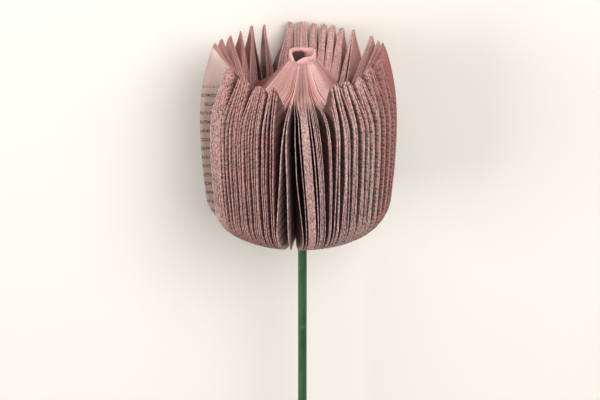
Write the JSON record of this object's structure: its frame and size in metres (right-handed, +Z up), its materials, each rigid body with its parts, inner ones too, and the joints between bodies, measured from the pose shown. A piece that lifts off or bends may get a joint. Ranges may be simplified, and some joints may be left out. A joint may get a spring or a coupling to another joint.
{
  "type": "paper flower",
  "caption": "Tulip-shaped paper flower: a page block cut to a petal outline, fanned in a ring round its curled spine, on a thin stick stem. Lies on its back.",
  "frame": {"origin": "centre of the footprint on the surface the flower lies on", "axes": "+Y along the stem towards the petal tips, +Z up, with the opening of the bloom facing +Z; the flower lies on its back"},
  "size_m": [0.0884, 0.202, 0.0861],
  "materials": {
    "page_paper": "matt, dusty pink stain over printed book paper",
    "stem_paint": "thin green craft paint, satin",
    "glue": "cloudy dried craft glue"
  },
  "bodies": {
    "root": {"page_block": "page_paper", "stem": "stem_paint", "glue_plug": "glue"}
  },
  "joints": []
}
